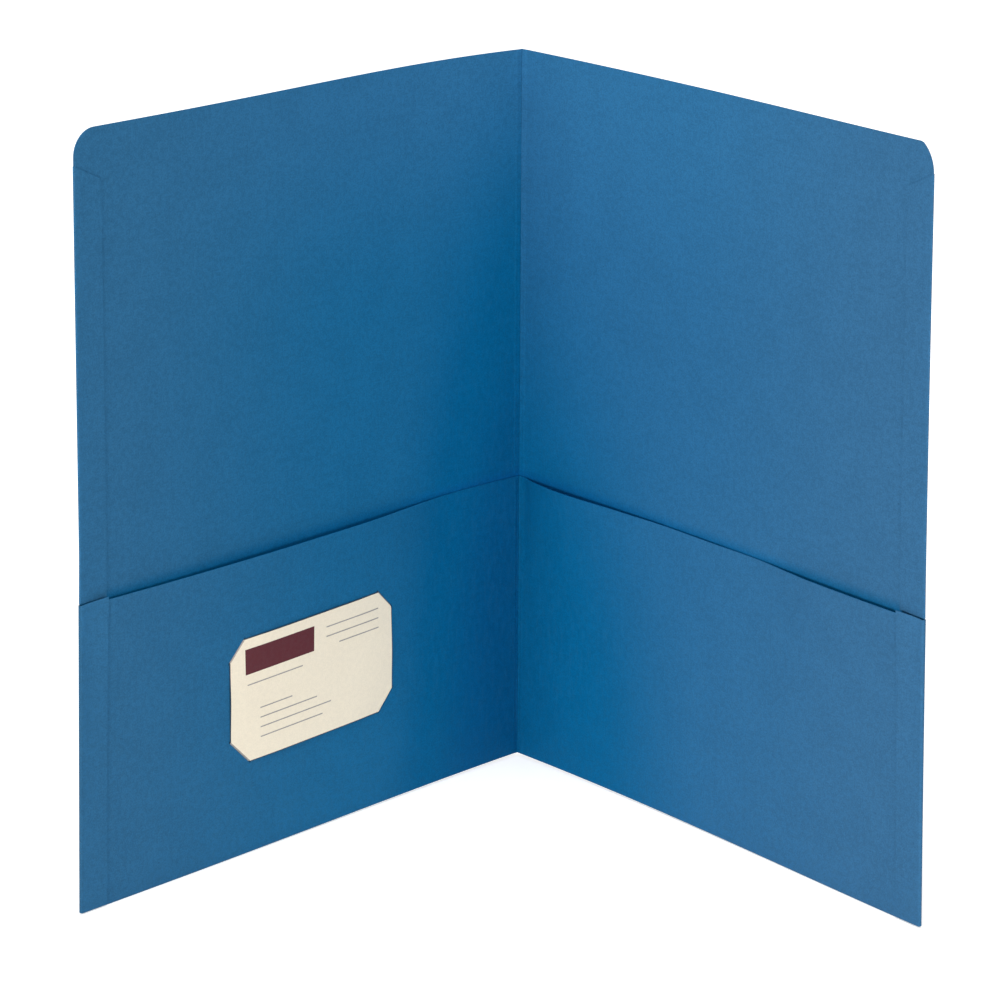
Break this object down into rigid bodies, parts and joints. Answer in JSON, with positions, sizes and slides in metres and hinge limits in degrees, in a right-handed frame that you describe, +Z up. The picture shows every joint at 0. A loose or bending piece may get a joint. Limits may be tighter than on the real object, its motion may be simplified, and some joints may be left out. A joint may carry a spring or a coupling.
{
  "type": "two pocket folder",
  "caption": "Blue heavy paper presentation folder standing open, with a folded-up pocket on each cover, glued side flaps and a blank card held by its corners in slits.",
  "frame": {"origin": "on the surface that the folder stands on, under the middle of its bounding box", "axes": "+Z up along the spine, spine at the back (+Y), covers opening towards the front (-Y), left cover towards -X"},
  "size_m": [0.3106, 0.187, 0.2984],
  "materials": {
    "blue_paper": "matt heavy paper, lightly mottled",
    "glue": "thin dried glue line",
    "card": "smooth cream card"
  },
  "bodies": {
    "spine": {"spine_strip": "blue_paper", "pocket_spine_strip": "blue_paper", "spine_bottom_fold": "blue_paper"},
    "right_cover": {"right_cover": "blue_paper", "right_bottom_fold": "blue_paper", "right_pocket": "blue_paper", "right_upper_fold": "blue_paper", "right_upper_flap": "blue_paper", "right_upper_glue": "glue", "right_lower_fold": "blue_paper", "right_lower_flap": "blue_paper", "right_lower_glue": "glue"},
    "left_cover": {"left_cover": "blue_paper", "left_bottom_fold": "blue_paper", "left_pocket": "blue_paper", "left_upper_fold": "blue_paper", "left_upper_flap": "blue_paper", "left_upper_glue": "glue", "left_lower_fold": "blue_paper", "left_lower_flap": "blue_paper", "left_lower_glue": "glue"},
    "card": {"business_card": "card"}
  },
  "joints": [
    {"name": "right_score", "type": "hinge", "parent": "spine", "child": "right_cover", "pos_m": [0.00175, 0.09312, 0.149], "axis": [0, 0, 1], "range_deg": [-39.56, 50.44]},
    {"name": "left_score", "type": "hinge", "parent": "spine", "child": "left_cover", "pos_m": [-0.00175, 0.09312, 0.149], "axis": [0, 0, -1], "range_deg": [-39.56, 50.44]},
    {"name": "card_lift", "type": "slide", "parent": "left_cover", "child": "card", "axis": [0.771, -0.6369, 0], "range_m": [0, 0.03], "deforming": ["business_card"]}
  ],
  "couplings": [
    {"joint": "left_score", "follows": "right_score", "ratio": 1}
  ]
}
